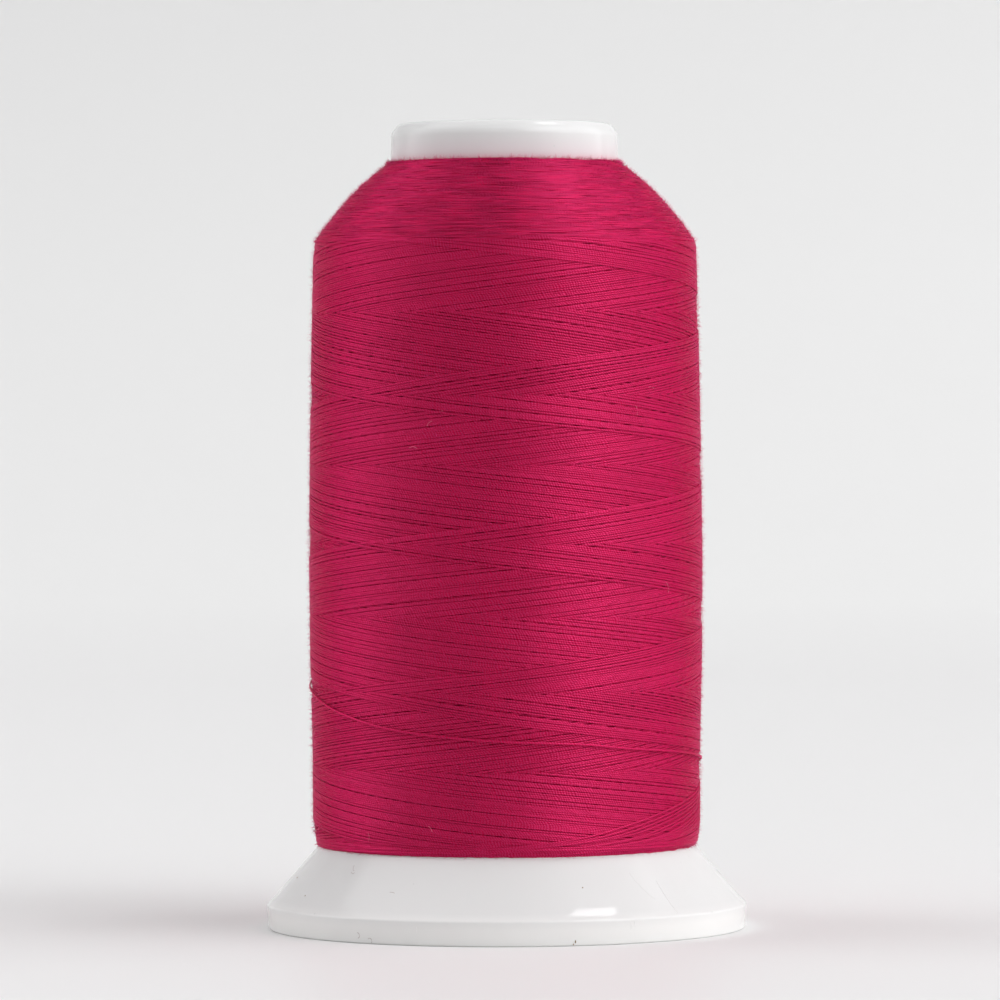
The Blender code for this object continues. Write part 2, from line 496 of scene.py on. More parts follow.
PLASTIC_PAINTED_LIGHT = (
    # height in mm, and the share of the plastic's red, green and blue that comes back there: painted light,
    # whiter low on the rim where it offsets the floor's shade, and a painted pink glow of the thread's light
    # from 16 mm up, pinkest next to the winding's top
    (1.8, 1.0, 0.995, 0.98),
    (3.7, 0.85, 0.85, 0.85),
    (9.0, 0.85, 0.85, 0.85),
    (16.0, 0.85, 0.68, 0.72),
    (91.0, 0.85, 0.68, 0.72),
    (92.2, 0.85, 0.58, 0.63),
    (93.3, 0.85, 0.78, 0.80),
    (95.0, 0.85, 0.85, 0.85),
)


def moulded_plastic(name, settings):
    """Glossy white plastic, a little see-through, with painted light: whiter low on the rim, and a painted
    pink glow of the thread's light up the tube, pinkest next to the winding.
    """
    material, tree, shader, place = new_material(name)
    clouds = noise(tree, place, 90.0, 4.0)
    ripples = noise(tree, place, 700.0, 2.0)
    height = add_node(tree, "ShaderNodeSeparateXYZ", {"Vector": place}).outputs["Z"]
    # painted light up the core: a whiter rim and a pink glow of the thread's light
    shades = shades_by_height(tree, height, PLASTIC_PAINTED_LIGHT, settings.colour, settings.height)
    cloudy = mixed(tree, spread(tree, clouds, 0.0, 0.08), shades, shaded(settings.colour, 0.65))
    specks = made(tree, "ShaderNodeTexVoronoi", {"Vector": place, "Scale": 330.0})
    speck = spread(tree, specks, least=0.02, most=0.05)
    looks = {
        "Base Color": mixed(tree, speck, shaded(settings.colour, 0.75), cloudy),
        "Normal": made(
            tree, "ShaderNodeBump", {"Height": ripples, "Distance": 0.02 * MM, "Strength": 0.03}
        ),
        "Roughness": spread(tree, clouds, 0.03, 0.09),
        "IOR": 1.49,
        "Specular IOR Level": 0.42,
        "Subsurface Weight": 0.2,
        "Subsurface Radius": (0.0025, 0.0025, 0.0025),
        "Subsurface Scale": 1.0,
    }
    fill(tree, shader, looks)
    return material


# ------------ moulded core


def neck_corner(settings, offset):
    """Where the tube's line meets the flare's line, both moved outwards by offset."""
    side = offset * math.sqrt(1.0 + settings.taper**2)
    rise = offset / math.sin(settings.flare_angle)
    slope = 1.0 / math.tan(settings.flare_angle)
    tube = settings.collar_radius + settings.taper * settings.height + side
    flare = settings.flare_height + settings.flare_radius * slope + rise
    height = (flare - slope * tube) / (1.0 - slope * settings.taper)
    return (tube - settings.taper * height, height)


FLARE_POINTS = 16
LIP_GAP = 0.3 * MM  # how far before the lip's corner the flare's points end, so that it can be rounded


def flare_curve(settings):
    """Points down the flare: straight at first, then running out into the lip of the rim."""
    run = (settings.flare_height - settings.flare_bend) * math.tan(settings.flare_angle)
    start = Vector((settings.flare_radius, settings.flare_height))
    bend = Vector((settings.flare_radius + run, settings.flare_bend))
    down = Vector((math.sin(settings.flare_angle), -math.cos(settings.flare_angle)))
    out = Vector((math.sin(settings.lip_angle), -math.cos(settings.lip_angle)))
    lip = Vector((settings.rim_radius, settings.rim_height)) - out * LIP_GAP
    reach = (lip - bend).cross(out) / down.cross(out)
    middle = bend + down * reach
    points = [start]
    for index in range(FLARE_POINTS + 1):
        part = index / FLARE_POINTS
        points.append(bend.lerp(middle, part).lerp(middle.lerp(lip, part), part))
    return points


def core_outline(settings):
    """Down the bore, under the rim and up the outside of the core: anticlockwise."""
    slope = 1.0 / math.tan(settings.flare_angle)
    neck = neck_corner(settings, 0.0)
    inner_neck = neck_corner(settings, -settings.wall)
    rim_inside = settings.rim_radius - settings.rim_wall
    recess = settings.flare_height + (settings.flare_radius - rim_inside) * slope
    recess -= settings.wall / math.sin(settings.flare_angle)
    corners = [
        # radius, height, rounding
        (settings.collar_radius - 0.9 * MM, settings.height, 0.9 * MM),
        (settings.collar_radius, settings.height - 1.1 * MM, 1.9 * MM),
        (*neck, 4.0 * MM),
        *[(point.x, point.y, 0.0) for point in flare_curve(settings)],
        (settings.rim_radius, settings.rim_height, 0.4 * MM),
        (settings.rim_radius - settings.rim_draft, 0.0, 0.25 * MM),
        (rim_inside, 0.0, 0.25 * MM),
        (rim_inside, recess, 0.6 * MM),
        (*inner_neck, 4.0 * MM + settings.wall),
        (settings.collar_radius - settings.wall, settings.height, 0.3 * MM),
    ]
    return rounded(corners, 7)[::-1]


class THREAD_OT_moulded_core(bpy.types.Operator):
    """Turns the core: collar, tapered tube, flare and the rim it stands on"""

    bl_idname = "thread.moulded_core"
    bl_label = "Moulded core"

    def execute(self, context):
        settings = context.scene.cone_core
        mesh = turned_mesh("moulded_core", core_outline(settings), settings.steps)
        plastic = moulded_plastic("white_moulded_plastic", settings)
        add_piece("moulded_core", mesh, plastic, "plastic_core")
        return {"FINISHED"}


# ------------ winding bed


def bed_outline(core, depth):
    """The winding's outside moved in by depth, and the wall of the core moved out a little."""
    clear = 0.15 * MM
    outwards = np.gradient(OUTLINE_RADII)
    upwards = np.gradient(OUTLINE_HEIGHTS)
    size = np.hypot(outwards, upwards)
    radii = OUTLINE_RADII - depth * upwards / size
    heights = OUTLINE_HEIGHTS + depth * outwards / size
    outside = [(radius, height, 0.0) for radius, height in zip(radii, heights)]
    neck = neck_corner(core, clear)
    tube = core.collar_radius + core.taper * (core.height - outside[-1][1]) + clear
    flare = core.flare_height + (core.flare_radius - outside[0][0]) / math.tan(core.flare_angle)
    foot = (outside[0][0], flare + clear / math.sin(core.flare_angle), 0.0)
    inside = [(tube, outside[-1][1], 0.0), (*neck, 3.8 * MM)]
    return rounded([foot, *outside, *inside], 5)


class THREAD_OT_winding_bed(bpy.types.Operator):
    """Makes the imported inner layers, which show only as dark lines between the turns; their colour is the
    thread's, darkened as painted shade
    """

    bl_idname = "thread.winding_bed"
    bl_label = "Winding bed"

    def execute(self, context):
        settings = context.scene.cone_winding
        depth = settings.thread_height + settings.layer
        outline = bed_outline(context.scene.cone_core, depth)
        mesh = turned_mesh("winding_bed", outline, 120)
        # the thread's colour at 0.8: painted shade for the inner layers seen in the gaps
        darkened_thread = sewing_thread("crimson_thread_shaded", settings, 0.8, twisted=False)
        add_piece("winding_bed", mesh, darkened_thread, "wound_thread")
        return {"FINISHED"}


# ------------ laid thread
# Thread is laid along runs: lists of points with the lean of the thread's flat side. A tree of
# geometry nodes gives the runs their section.


def new_tree(name, sizes):
    """A geometry node tree with named inputs; returns it with what comes in and its last node."""
    tree = bpy.data.node_groups.new(name, "GeometryNodeTree")
    tree.interface.new_socket("Geometry", in_out="INPUT", socket_type="NodeSocketGeometry")
    for size, kind in sizes.items():
        tree.interface.new_socket(size, in_out="INPUT", socket_type="NodeSocket" + kind)
    tree.interface.new_socket("Geometry", in_out="OUTPUT", socket_type="NodeSocketGeometry")
    return tree, tree.nodes.new("NodeGroupInput").outputs, tree.nodes.new("NodeGroupOutput")


def finish_tree(tree, shape, material, end):
    smooth = made(tree, "GeometryNodeSetShadeSmooth", {"Geometry": shape})
    real = made(tree, "GeometryNodeRealizeInstances", {"Geometry": smooth})
    dressed = made(tree, "GeometryNodeSetMaterial", {"Geometry": real, "Material": material})
    tree.links.new(dressed, end.inputs["Geometry"])
    return tree


def laid_thread_tree():
    """Gives every run an oval section, its flat side on the winding."""
    sizes = {"Width": "Float", "Height": "Float", "Sides": "Int", "Material": "Material"}
    tree, start, end = new_tree("laid_thread", sizes)
    curves = made(tree, "GeometryNodeMeshToCurve", {"Mesh": start["Geometry"]})
    upright = made(tree, "GeometryNodeSetCurveNormal", {"Curve": curves}, mode="Z_UP")
    lean = made(tree, "GeometryNodeInputNamedAttribute", {"Name": "lean"}, data_type="FLOAT")
    leaning = made(tree, "GeometryNodeSetCurveTilt", {"Curve": upright, "Tilt": lean})
    ring = made(tree, "GeometryNodeCurvePrimitiveCircle", {"Resolution": start["Sides"], "Radius": 0.5})
    size = made(tree, "ShaderNodeCombineXYZ", {"X": start["Height"], "Y": start["Width"], "Z": 1.0})
    oval = made(tree, "GeometryNodeTransform", {"Geometry": ring, "Scale": size})
    mark = {"Geometry": oval, "Name": "round", "Value": made(tree, "GeometryNodeInputIndex")}
    marked = made(tree, "GeometryNodeStoreNamedAttribute", mark, data_type="FLOAT", domain="POINT")
    laid = {"Curve": leaning, "Profile Curve": marked, "Fill Caps": True}
    return finish_tree(tree, made(tree, "GeometryNodeCurveToMesh", laid), start["Material"], end)


def made_by_tree(name, carrier_mesh, tree, sizes):
    """The plain mesh that a tree makes of a carrier, as a new object."""
    carrier = link(bpy.data.objects.new(name + "_carrier", carrier_mesh))
    modifier = carrier.modifiers.new(tree.name, "NODES")
    modifier.node_group = tree
    for socket in tree.interface.items_tree:
        if socket.in_out == "INPUT" and socket.name in sizes:
            modifier[socket.identifier] = sizes[socket.name]
    evaluated = carrier.evaluated_get(bpy.context.evaluated_depsgraph_get())
    mesh = bpy.data.meshes.new_from_object(evaluated)
    mesh.name = name
    carrier.modifiers.remove(modifier)
    bpy.data.objects.remove(carrier, do_unlink=True)
    bpy.data.meshes.remove(carrier_mesh)
    if not mesh.polygons:
        raise RuntimeError(f"{name}: the tree made no faces")
    return link(bpy.data.objects.new(name, mesh))


def run_carrier(name, runs):
    """Runs of points as a mesh of edges, with each point's lean, number and distance along the thread."""
    points = np.concatenate([run["points"] for run in runs])
    leans = np.concatenate([run["lean"] for run in runs])
    numbers = []
    distances = []
    edges = []
    count = 0
    for run in runs:
        size = len(run["points"])
        gaps = np.linalg.norm(np.diff(run["points"], axis=0), axis=1)
        distances.append(np.concatenate([[0.0], np.cumsum(gaps)]))
        numbers.append(np.arange(count, count + size))
        first = np.arange(count, count + size - 1)
        edges.append(np.stack([first, first + 1], axis=-1))
        count += size
    mesh = bpy.data.meshes.new(name + "_runs")
    mesh.from_pydata(points.tolist(), np.concatenate(edges).tolist(), [])
    marks = {"lean": leans, "number": np.concatenate(numbers), "distance": np.concatenate(distances)}
    for mark, values in marks.items():
        attribute = mesh.attributes.new(mark, "FLOAT", "POINT")
        attribute.data.foreach_set("value", values.astype(np.float32))
    return mesh


def point_values(mesh, name):
    values = np.empty(len(mesh.vertices), np.float32)
    mesh.attributes[name].data.foreach_get("value", values)
    return values


ROW_MARGIN = 0.05  # space left at either side of a row of the map for baking


def lay_uv(mesh, sides, row_points):
    """Two UV maps: "thread" in metres along and turns round the thread, and rows of runs for baking."""
    corners = np.empty(len(mesh.loops), np.int32)
    mesh.loops.foreach_get("vertex_index", corners)
    totals = np.empty(len(mesh.polygons), np.int32)
    mesh.polygons.foreach_get("loop_total", totals)
    starts = np.concatenate([[0], np.cumsum(totals)[:-1]])
    number = point_values(mesh, "number")[corners]
    side = point_values(mesh, "round")[corners]
    distance = point_values(mesh, "distance")[corners]
    lowest_number = np.repeat(np.minimum.reduceat(number, starts), totals)
    widest = np.repeat(np.maximum.reduceat(side, starts), totals)
    quads = np.repeat(totals == 4, totals)
    side = np.where(quads & (widest == sides - 1) & (side == 0), sides, side)
    rows = math.floor(number.max() / row_points) + 1
    row = np.floor(lowest_number / row_points)
    along_row = (number - row * row_points) / row_points
    up = (row + ROW_MARGIN + (1.0 - 2.0 * ROW_MARGIN) * side / sides) / rows
    maps = {"OFBake": (along_row, up), "thread": (distance, side / sides)}
    for name, axes in maps.items():
        layer = mesh.uv_layers.new(name=name)
        layer.data.foreach_set("uv", np.stack(axes, axis=-1).astype(np.float32).ravel())
    for mark in ("lean", "number", "round", "distance"):
        mesh.attributes.remove(mesh.attributes[mark])


def lay_thread(name, runs, tree, material, settings, width=1.0, sides=6, on_foot=False):
    """A piece of thread, or of hairs a share of its width, laid along runs."""
    sizes = {
        "Width": settings.thread_width * width,
        "Height": settings.thread_height * width,
        "Sides": sides,
        "Material": material,
    }
    piece = made_by_tree(name, run_carrier(name, runs), tree, sizes)
    lay_uv(piece.data, sides, settings.points_a_turn)
    if on_foot:
        hand_over(piece, "plastic_core")
    else:
        hand_over(piece, "wound_thread")


# ------------ barrel turns


class Traverse:
    """The law of the winding: the height of the newest pass at each turn, and each band's age."""

    def __init__(self, passes):
        turns, heights = np.array(TRAVERSE).T
        turns[-1] -= 1.0 / passes
        self.turns = turns
        self.heights = heights * MM
        self.start = turns[0]
        self.length = turns[-1] - turns[0]
        rising = np.linspace(turns[0], TRAVERSE_TOP, 2000)
        falling = np.linspace(TRAVERSE_TOP, turns[-1], 2000)
        self.rising = (self.height(rising), rising)
        self.falling = (self.height(falling)[::-1], falling[::-1])

    def height(self, turns):
        return smooth_through(self.turns, self.heights, turns)

    def rising_age(self, turns, height):
        """How long ago the rising turn at this place was laid, as a share of the cycle."""
        return (turns - np.interp(height, *self.rising)) % 1.0

    def falling_age(self, turns, height):
        return (turns - np.interp(height, *self.falling)) % 1.0


DRIFTS = ((3.3, 0.9), (1.9, 0.8), (1.1, 0.5), (0.45, 0.2))  # periods in turns, and their shares
UNDER_WITHIN = 2.6  # passes within which a turn goes from over to under those that cross it
LOW_REACH = 1.2 * MM  # how far up from the lowest turns their unevenness reaches
HIGH_REACH = 1.0 * MM  # and how far down from the highest turns


def drift(random, turns, scale):
    """A slow wander along the thread, of about the given size."""
    wander = np.zeros(len(turns))
    for period, share in DRIFTS:
        phase = random.uniform(0.0, math.tau)
        strength = random.normal(0.0, scale * share)
        wander += strength * np.sin(math.tau * turns / period + phase)
    return wander


def barrel_runs(settings):
    """Every pass of the outermost cycle, from the oldest to the newest, as one run for each pass."""
    law = Traverse(settings.passes)
    random = np.random.default_rng(settings.seed)
    steps = round(law.length * settings.points_a_turn)
    own = np.linspace(law.start, law.start + law.length, steps + 1)
    heights = law.height(own)
    runs = []
    for number in range(settings.passes):
        age = (settings.passes - 1 - number) / settings.passes
        turns = own + age
        rising = law.rising_age(turns, heights)
        falling = law.falling_age(turns, heights)
        mine = np.full(len(own), age)
        other = np.where(own <= TRAVERSE_TOP, falling, rising)
        hidden = soft_step(0.5 + (mine - other) * settings.passes / UNDER_WITHIN)
        aside = np.where(own > TRAVERSE_TOP, random.normal(), random.normal()) * settings.unevenness
        aside = aside + drift(random, own, settings.unevenness)
        low_end = np.exp(-(heights - heights.min()) / LOW_REACH)
        high_end = np.exp(-(heights.max() - heights) / HIGH_REACH)
        aside += low_end * random.uniform(-0.35, 0.55) * MM
        aside += high_end * random.normal(0.0, 0.14) * MM
        height = heights + aside
        lift = settings.layer * (1.0 - mine - other - hidden)
        lift += low_end * random.normal(0.0, 0.05) * MM
        radius = winding_radius(height) - settings.thread_height / 2.0 + lift
        runs.append(run_along(round_axis(turns, radius, height)))
    return runs


def joined(runs):
    """Passes that follow each other as one run."""
    points = [runs[0]["points"]]
    leans = [runs[0]["lean"]]
    for run in runs[1:]:
        points.append(run["points"][1:])
        leans.append(run["lean"][1:])
    return {"points": np.concatenate(points), "lean": np.concatenate(leans)}


BARREL_PIECES = ("turns_oldest", "turns_older", "turns_newer", "turns_newest")


class THREAD_OT_barrel_turns(bpy.types.Operator):
    """Lays the outermost cycle of cross-wound turns on the barrel, a pass at a time"""

    bl_idname = "thread.barrel_turns"
    bl_label = "Barrel turns"

    def execute(self, context):
        settings = context.scene.cone_winding
        runs = barrel_runs(settings)
        tree = laid_thread_tree()
        material = sewing_thread("crimson_sewing_thread", settings)
        share = math.ceil(len(runs) / len(BARREL_PIECES))
        for index, name in enumerate(BARREL_PIECES):
            part = runs[index * share : (index + 1) * share]
            lay_thread(name, [joined(part)], tree, material, settings)
        return {"FINISHED"}


# ------------ edge arcs

GOLDEN_TURN = 0.6180339887  # spreads one arc after another evenly round the core
SHOULDER_LEAN = math.radians(42.0)
SHOULDER_HEIGHTS = (82.7, 92.3)  # in mm
LOWER_LEAN = math.radians(-35.0)
LOWER_HEIGHTS = (9.65, 10.5)
ARC_POINTS = 8
ARC_DIVE = 0.14 * MM  # how far the two ends of an arc dive
CLOSENESS = 1.4  # how much closer than side by side the turns under the arcs lie


def arc_run(random, index, height, reach, bend, lean, settings):
    """A turn that comes up to a height, turns back there and dives under newer turns."""
    middle = index * GOLDEN_TURN + random.uniform(-0.02, 0.02)
    along = np.linspace(-reach, reach, ARC_POINTS)
    heights = height + bend * along**2 + random.normal(0.0, 0.02) * MM
    dive = ARC_DIVE * (along / reach) ** 4
    radius = winding_radius(height) - settings.thread_height * random.uniform(0.05, 1.05) - dive
    return run_along(round_axis(middle + along, radius, heights), lean)


def under_turns(low, high, depth, lean, settings):
    """Close turns that climb a slope under its arcs, so that no gap shows the bed."""
    count = math.ceil(CLOSENESS * (high - low) / settings.thread_width)
    turns = np.linspace(0.0, count, count * 60 + 1)
    heights = np.linspace(low, high, len(turns))
    return run_along(round_axis(turns, winding_radius(heights) - depth, heights), lean)


class THREAD_OT_edge_arcs(bpy.types.Operator):
    """Lays the arcs in which inner layers turn back, on the shoulder and on the lower edge"""

    bl_idname = "thread.edge_arcs"
    bl_label = "Edge arcs"

    def execute(self, context):
        settings = context.scene.cone_winding
        random = np.random.default_rng(settings.seed + 1)
        material = bpy.data.materials["crimson_sewing_thread"]
        tree = bpy.data.node_groups["laid_thread"]
        low, high = [height * MM for height in SHOULDER_HEIGHTS]
        runs = []
        for index in range(settings.shoulder_arcs):
            part = (index + random.uniform(0.0, 1.0)) / settings.shoulder_arcs
            reach = random.uniform(0.025, 0.055)
            bend = -random.uniform(60.0, 160.0) * MM
            height = low + (high - low) * part
            runs.append(arc_run(random, index, height, reach, bend, SHOULDER_LEAN, settings))
        flecked = sewing_thread("crimson_thread_flecked", settings, flat=14.0)
        lay_thread("shoulder_arcs", runs, tree, flecked, settings)
        under = under_turns(low - 0.5 * MM, high, 0.19 * MM, SHOULDER_LEAN, settings)
        lay_thread("shoulder_under_turns", [under], tree, material, settings, sides=5)
        low, high = [height * MM for height in LOWER_HEIGHTS]
        runs = []
        for index in range(settings.lower_arcs):
            part = (index + 0.5) / settings.lower_arcs
            reach = random.uniform(0.07, 0.13)
            bend = random.uniform(8.0, 30.0) * MM
            height = low + (high - low) * part
            runs.append(arc_run(random, index, height, reach, bend, LOWER_LEAN, settings))
        lay_thread("lower_arcs", runs, tree, material, settings)
        return {"FINISHED"}


SLACK_DEPTH = 0.35 * MM  # depth of the slack turn's ends under the winding's outside
SLACK_RISE = 0.47 * MM  # how far it comes up from there
SLACK_START = 0.19  # turns in which it comes up
SLACK_END = 0.06  # turns in which it goes down again


class THREAD_OT_slack_turn(bpy.types.Operator):
    """Lays the one slack turn that has slipped down across the others"""

    bl_idname = "thread.slack_turn"
    bl_label = "Slack turn"

    def execute(self, context):
        settings = context.scene.cone_winding
        turns, heights = np.array(SLACK_TURN).T
        fine = np.linspace(turns[0], turns[-1], 90)
        height = smooth_through(turns, heights * MM, fine)
        free = soft_step((fine - turns[0]) / SLACK_START) * soft_step((turns[-1] - fine) / SLACK_END)
        radius = winding_radius(height) - SLACK_DEPTH + SLACK_RISE * free
        run = run_along(round_axis(fine, radius, height))
        # a lighter copy of the thread's colour: painted light on the raised slack turn
        material = sewing_thread("crimson_thread_painted_lighter", settings, 1.2)
        tree = bpy.data.node_groups["laid_thread"]
        lay_thread("slack_turn", [run], tree, material, settings, sides=8)
        return {"FINISHED"}


# ------------ fibres
# The thickness of fibres is their radius as a share of their length.

FIBRE_SIZES = {"Shortest": 0.35 * MM, "Longest": 0.85 * MM, "Thickness": 0.008}
FUZZ_SIZES = {"Shortest": 0.2 * MM, "Longest": 0.75 * MM, "Thickness": 0.037}
EDGE_THICKNESS = 0.03
FIBRE_BENDS = ((0.2, 0.1, 0.55), (0.75, -0.25, 0.3), (0.1, 0.3, 0.9))


def bent_fibres(tree, thickness):
    """Fibres that start just under the surface, each bent its own way, to pick from."""
    shapes = add_node(tree, "GeometryNodeJoinGeometry")
    section = made(tree, "GeometryNodeCurvePrimitiveCircle", {"Resolution": 3, "Radius": thickness})
    for bend in FIBRE_BENDS:
        line = {"Resolution": 5, "Start": (0.0, 0.0, -0.05), "Middle": bend, "End": (0.9, 0.15, 0.35)}
        fibre = made(tree, "GeometryNodeCurveQuadraticBezier", line)
        laid = {"Curve": fibre, "Profile Curve": section, "Fill Caps": True}
        solid = made(tree, "GeometryNodeCurveToMesh", laid)
        shape = made(tree, "GeometryNodeGeometryToInstance", {"Geometry": solid})
        tree.links.new(shape, shapes.inputs["Geometry"])
    pick = add_node(tree, "FunctionNodeRandomValue", data_type="INT")
    fill(tree, pick, {4: 0, 5: len(FIBRE_BENDS) - 1})
    return {"Instance": shapes.outputs[0], "Pick Instance": True, "Instance Index": pick.outputs[2]}


def spike(tree, thickness):
    """A fibre end: a thin spike."""
    cone = {"Vertices": 3, "Radius Bottom": thickness, "Radius Top": 0.0, "Depth": 1.0}
    return {"Instance": made(tree, "GeometryNodeMeshCone", cone)}


def scatter_tree(name, shape, least_lean, most_lean):
    """Sets short shapes at random places on a surface, each at a lean and a size of its own."""
    sizes = {"Density": "Float", "Shortest": "Float", "Longest": "Float", "Thickness": "Float"}
    sizes |= {"Seed": "Int", "Material": "Material"}
    tree, start, end = new_tree(name, sizes)
    ground = {"Mesh": start["Geometry"], "Density": start["Density"], "Seed": start["Seed"]}
    places = add_node(tree, "GeometryNodeDistributePointsOnFaces", ground, distribute_method="RANDOM")
    lean = add_node(tree, "FunctionNodeRandomValue", data_type="FLOAT_VECTOR")
    fill(tree, lean, {0: least_lean, 1: most_lean})
    size = add_node(tree, "FunctionNodeRandomValue", data_type="FLOAT")
    fill(tree, size, {2: start["Shortest"], 3: start["Longest"]})
    turn = {"Rotation": places.outputs["Rotation"], "Rotate By": lean.outputs[0]}
    turned = made(tree, "FunctionNodeRotateRotation", turn, rotation_space="LOCAL")
    set_out = {"Points": places.outputs["Points"], "Rotation": turned, "Scale": size.outputs[1]}
    set_out |= shape(tree, start["Thickness"])
    shapes = made(tree, "GeometryNodeInstanceOnPoints", set_out)
    return finish_tree(tree, shapes, start["Material"], end)


def fibre_ground(depth, low=OUTLINE_HEIGHTS[0], high=OUTLINE_HEIGHTS[-1]):
    """The winding's outside between two heights, moved in by depth, for fibres to stand on."""
    heights = np.linspace(low, high, 40)
    outside = [(winding_radius(height) - depth, height) for height in heights]
    return turned_mesh("fibre_ground", outside, 90, closed=False)


EDGE_FUZZ = (
    # piece, lowest and highest height in mm, fibres a square metre
    ("collar_fuzz", 92.1, 92.42, 5.0e7),
    ("shoulder_fuzz", 82.6, 92.1, 7.0e6),
    ("lower_fuzz", 9.6, 10.3, 1.6e7),
)


class THREAD_OT_loose_fibres(bpy.types.Operator):
    """Scatters the fuzz of a spun thread, and a few longer fibres that stand off it"""

    bl_idname = "thread.loose_fibres"
    bl_label = "Loose fibres"

    def execute(self, context):
        settings = context.scene.cone_winding
        sizes = {"Seed": settings.seed, "Material": loose_fibre("pale_crimson_fibre", settings)}
        sizes |= FIBRE_SIZES | {"Density": settings.fibre_density}
        tree = scatter_tree("loose_fibres", bent_fibres, (-0.5, -0.6, 0.0), (0.5, 0.5, math.tau))
        pieces = [made_by_tree("loose_fibres", fibre_ground(0.0), tree, sizes)]
        sizes |= FUZZ_SIZES | {"Density": settings.fuzz_density}
        tree = scatter_tree("fuzz", spike, (-0.85, -0.85, 0.0), (0.85, 0.85, math.tau))
        pieces.append(made_by_tree("fuzz", fibre_ground(0.08 * MM), tree, sizes))
        sizes["Thickness"] = EDGE_THICKNESS
        for name, low, high, density in EDGE_FUZZ:
            sizes["Density"] = density
            ground = fibre_ground(0.05 * MM, low * MM, high * MM)
            pieces.append(made_by_tree(name, ground, tree, sizes))
        for piece in pieces:
            hand_over(piece, "wound_thread")
        return {"FINISHED"}


# ------------ lint and specks

LINT = (
    # degrees round, height in mm, heading in degrees, length in mm, curl in degrees a mm
    (-9.0, 82.2, 150.0, 0.5, 60.0),
    (-6.0, 81.9, 105.0, 0.4, 60.0),
    (-19.0, 62.2, 30.0, 1.3, 90.0),
    (-23.0, 60.5, 80.0, 0.9, -70.0),
    (-26.0, 57.9, 130.0, 1.1, 80.0),
    (41.0, 61.7, 60.0, 1.2, 60.0),
    (46.0, 65.1, 20.0, 0.9, -60.0),
    (54.0, 40.6, 70.0, 1.4, 50.0),
    (-45.0, 11.5, 40.0, 1.1, 80.0),
    (-22.0, 12.9, 100.0, 0.8, 60.0),
)
FOOT_HAIRS = (
    # the same
    (-49.0, 8.7, -100.0, 0.9, 110.0),
    (-47.0, 7.9, -130.0, 0.7, -140.0),
    (-37.5, 0.6, 10.0, 0.9, 170.0),
    (-34.5, 0.5, 60.0, 1.0, -190.0),
    (-30.0, 5.8, 150.0, 0.7, 60.0),
)
FOOT_SPECKS = (
    # the same
    (-77.6, 6.42, 0.0, 0.2, 0.0),
    (-62.0, 4.8, 0.0, 0.06, 0.0),
    (16.0, 0.35, 90.0, 0.3, 0.0),
    (15.4, 0.2, 20.0, 0.1, 0.0),
    (20.0, 6.54, 0.0, 0.12, 0.0),
)
# Pale streaks on the flare, painted near white: painted highlights along faint marks.
FOOT_STREAKS = (
    # the same
    (36.0, 8.3, -82.0, 3.6, 12.0),
    (44.0, 7.3, -95.0, 3.8, 5.0),
    (30.0, 1.7, 85.0, 0.9, 15.0),
    (31.2, 1.8, 95.0, 1.0, 10.0),
    (-21.5, 1.6, 70.0, 0.6, 60.0),
)


def hair_run(hair, surface):
    """A curled hair that lies on a round surface, whose radius at each height is given."""
    degrees, height, heading, length, curl = hair
    along = np.linspace(0.0, length * MM, 10)
    headings = np.radians(heading + curl * along / MM)
    heights = height * MM + np.cumsum(np.sin(headings)) * along[1]
    radii = surface(heights)
    turns = degrees / 360.0 + np.cumsum(np.cos(headings)) * along[1] / (math.tau * radii)
    return run_along(round_axis(turns, radii, heights))


def foot_radius(heights):
    """The outer radius of the rim and the flare."""
    settings = bpy.context.scene.cone_core
    corners = [Vector((settings.rim_radius - settings.rim_draft, 0.0))]
    corners.append(Vector((settings.rim_radius, settings.rim_height - LIP_GAP)))
    corners += reversed(flare_curve(settings))
    return np.interp(heights, [corner.y for corner in corners], [corner.x for corner in corners])


class THREAD_OT_lint(bpy.types.Operator):
    """Lays the bits of lint on the winding and the hairs, specks and streaks on the foot"""

    bl_idname = "thread.lint"
    bl_label = "Lint and specks"

    def execute(self, context):
        settings = context.scene.cone_winding
        tree = bpy.data.node_groups["laid_thread"]
        pale = plain_paint("pale_lint", (0.76, 0.17, 0.29), 0.7)
        runs = [hair_run(hair, winding_radius) for hair in LINT]
        lay_thread("lint", runs, tree, pale, settings, width=0.22)
        marks = {
            "foot_hairs": (FOOT_HAIRS, (0.42, 0.34, 0.33), 0.18),
            "foot_specks": (FOOT_SPECKS, (0.30, 0.21, 0.12), 0.7),
            # the streaks' near white is painted highlight
            "foot_streaks": (FOOT_STREAKS, (0.93, 0.92, 0.92), 0.2),
        }
        for name, (hairs, colour, width) in marks.items():
            runs = [hair_run(hair, foot_radius) for hair in hairs]
            material = plain_paint(name, colour, 0.6)
            lay_thread(name, runs, tree, material, settings, width=width, on_foot=True)
        return {"FINISHED"}


# ------------ stage


SWEEP_LEFT_PAINTED_LIGHT = (
    # height in mm, and the share of the floor's red, green and blue that comes back there: painted light on
    # the sweep's left side
    (0.0, 1.0, 1.0, 1.0),
    (13.0, 1.035, 1.04, 1.035),
    (100.0, 1.02, 1.026, 1.02),
    (200.0, 0.985, 0.99, 0.985),
)
SWEEP_RIGHT_PAINTED_LIGHT = (
    # the same, for the painted light on the sweep's right side, which is paler
    (0.0, 1.01, 1.01, 1.01),
    (13.0, 1.07, 1.076, 1.07),
    (100.0, 1.08, 1.086, 1.08),
    (200.0, 1.06, 1.066, 1.06),
)
SWEEP_SHADED_TO = 0.2  # height in metres above which the sweep's shade stays the same
SWEEP_REACH = 0.16  # how far to each side of the cone the shades of its two sides lie
SWEEP_FADE = 2.2  # height at which it begins to fade
SWEEP_TOP = 3.8
SWEEP_WIDTH = 6.0
SWEEP_FRONT = -2.5
SWEEP_BEND = 0.7  # where the floor begins to curve up
SWEEP_RADIUS = 0.9


